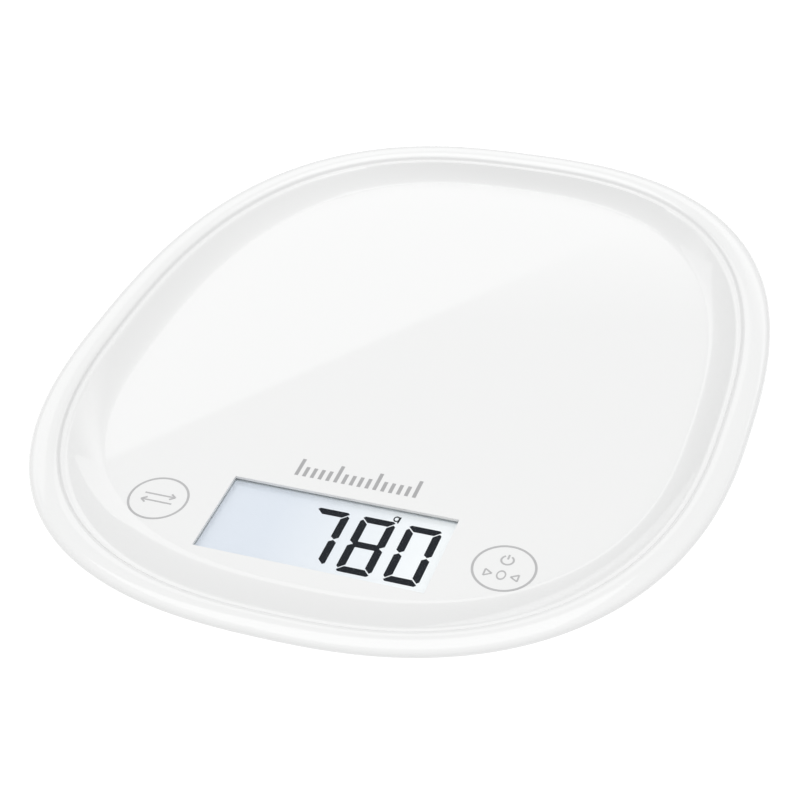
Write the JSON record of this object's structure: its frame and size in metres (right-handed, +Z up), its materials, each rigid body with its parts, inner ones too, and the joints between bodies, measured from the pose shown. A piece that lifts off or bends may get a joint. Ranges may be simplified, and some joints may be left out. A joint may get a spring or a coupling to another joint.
{
  "type": "kitchen scale",
  "caption": "Slim electronic kitchen scale: a dished white platform with a raised rounded rim, a recessed display and touch keys, standing on load-cell feet.",
  "frame": {"origin": "centre of the outline's box on the resting plane", "axes": "+X to the right as the display is read, +Y to the back, +Z up"},
  "size_m": [0.19, 0.225, 0.018],
  "materials": {
    "white_cover": "high gloss moulded",
    "white_housing": "fine satin texture",
    "clear_pane": "clear polished",
    "pale_foam": "closed-cell foam",
    "display_glass": "polarised glass, pale grey-blue",
    "inner_plastic": "plain moulded",
    "light_guide": "clear light guide with white backing",
    "contact_rubber": "layered elastomer",
    "circuit_board": "solder mask",
    "chip_black": "moulded packages",
    "touch_wire": "tinned wire",
    "gauge_film": "amber film",
    "red_lead": "insulated lead",
    "coin_steel": "brushed can",
    "contact_steel": "plated spring leaf",
    "black_lead": "insulated lead",
    "screw_steel": "zinc plated",
    "cell_steel": "rolled spring steel",
    "foot_plastic": "plain moulded",
    "pad_rubber": "soft grey rubber"
  },
  "bodies": {
    "housing": {"top_cover": "white_cover", "bottom_cover": "white_housing", "display_window": "clear_pane", "window_gasket": "pale_foam", "lcd_cell": "display_glass", "lcd_frame": "inner_plastic", "backlight_panel": "light_guide", "lcd_connector_strip": "contact_rubber", "main_board": "circuit_board", "board_chips": "chip_black", "units_key_spring": "touch_wire", "tare_key_spring": "touch_wire", "strain_gauges": "gauge_film", "load_cell_leads": "red_lead", "coin_cell": "coin_steel", "battery_contact_negative": "contact_steel", "battery_contact_positive": "contact_steel", "battery_leads": "black_lead", "case_screws": "screw_steel", "board_screws": "screw_steel", "carrier_screws": "screw_steel", "load_cell_fl": "cell_steel", "load_cell_fr": "cell_steel", "load_cell_bl": "cell_steel", "load_cell_br": "cell_steel", "cell_carrier_fl": "inner_plastic", "cell_carrier_fr": "inner_plastic", "cell_carrier_bl": "inner_plastic", "cell_carrier_br": "inner_plastic"},
    "foot_fl": {"foot_cup_fl": "foot_plastic", "foot_pad_fl": "pad_rubber"},
    "foot_fr": {"foot_cup_fr": "foot_plastic", "foot_pad_fr": "pad_rubber"},
    "foot_bl": {"foot_cup_bl": "foot_plastic", "foot_pad_bl": "pad_rubber"},
    "foot_br": {"foot_cup_br": "foot_plastic", "foot_pad_br": "pad_rubber"},
    "door": {"battery_door": "white_housing"}
  },
  "joints": [
    {"name": "foot_fl_travel", "type": "slide", "parent": "housing", "child": "foot_fl", "axis": [0, 0, 1], "range_m": [0, 0.0003], "stiffness_N_per_m": 100, "deforming": ["load_cell_fl"]},
    {"name": "foot_fr_travel", "type": "slide", "parent": "housing", "child": "foot_fr", "axis": [0, 0, 1], "range_m": [0, 0.0003], "stiffness_N_per_m": 100, "deforming": ["load_cell_fr"]},
    {"name": "foot_bl_travel", "type": "slide", "parent": "housing", "child": "foot_bl", "axis": [0, 0, 1], "range_m": [0, 0.0003], "stiffness_N_per_m": 100, "deforming": ["load_cell_bl"]},
    {"name": "foot_br_travel", "type": "slide", "parent": "housing", "child": "foot_br", "axis": [0, 0, 1], "range_m": [0, 0.0003], "stiffness_N_per_m": 100, "deforming": ["load_cell_br"]},
    {"name": "battery_door_hinge", "type": "hinge", "parent": "housing", "child": "door", "pos_m": [0, 0.0273, 0.0039], "axis": [1, 0, 0], "range_deg": [0, 95]}
  ]
}
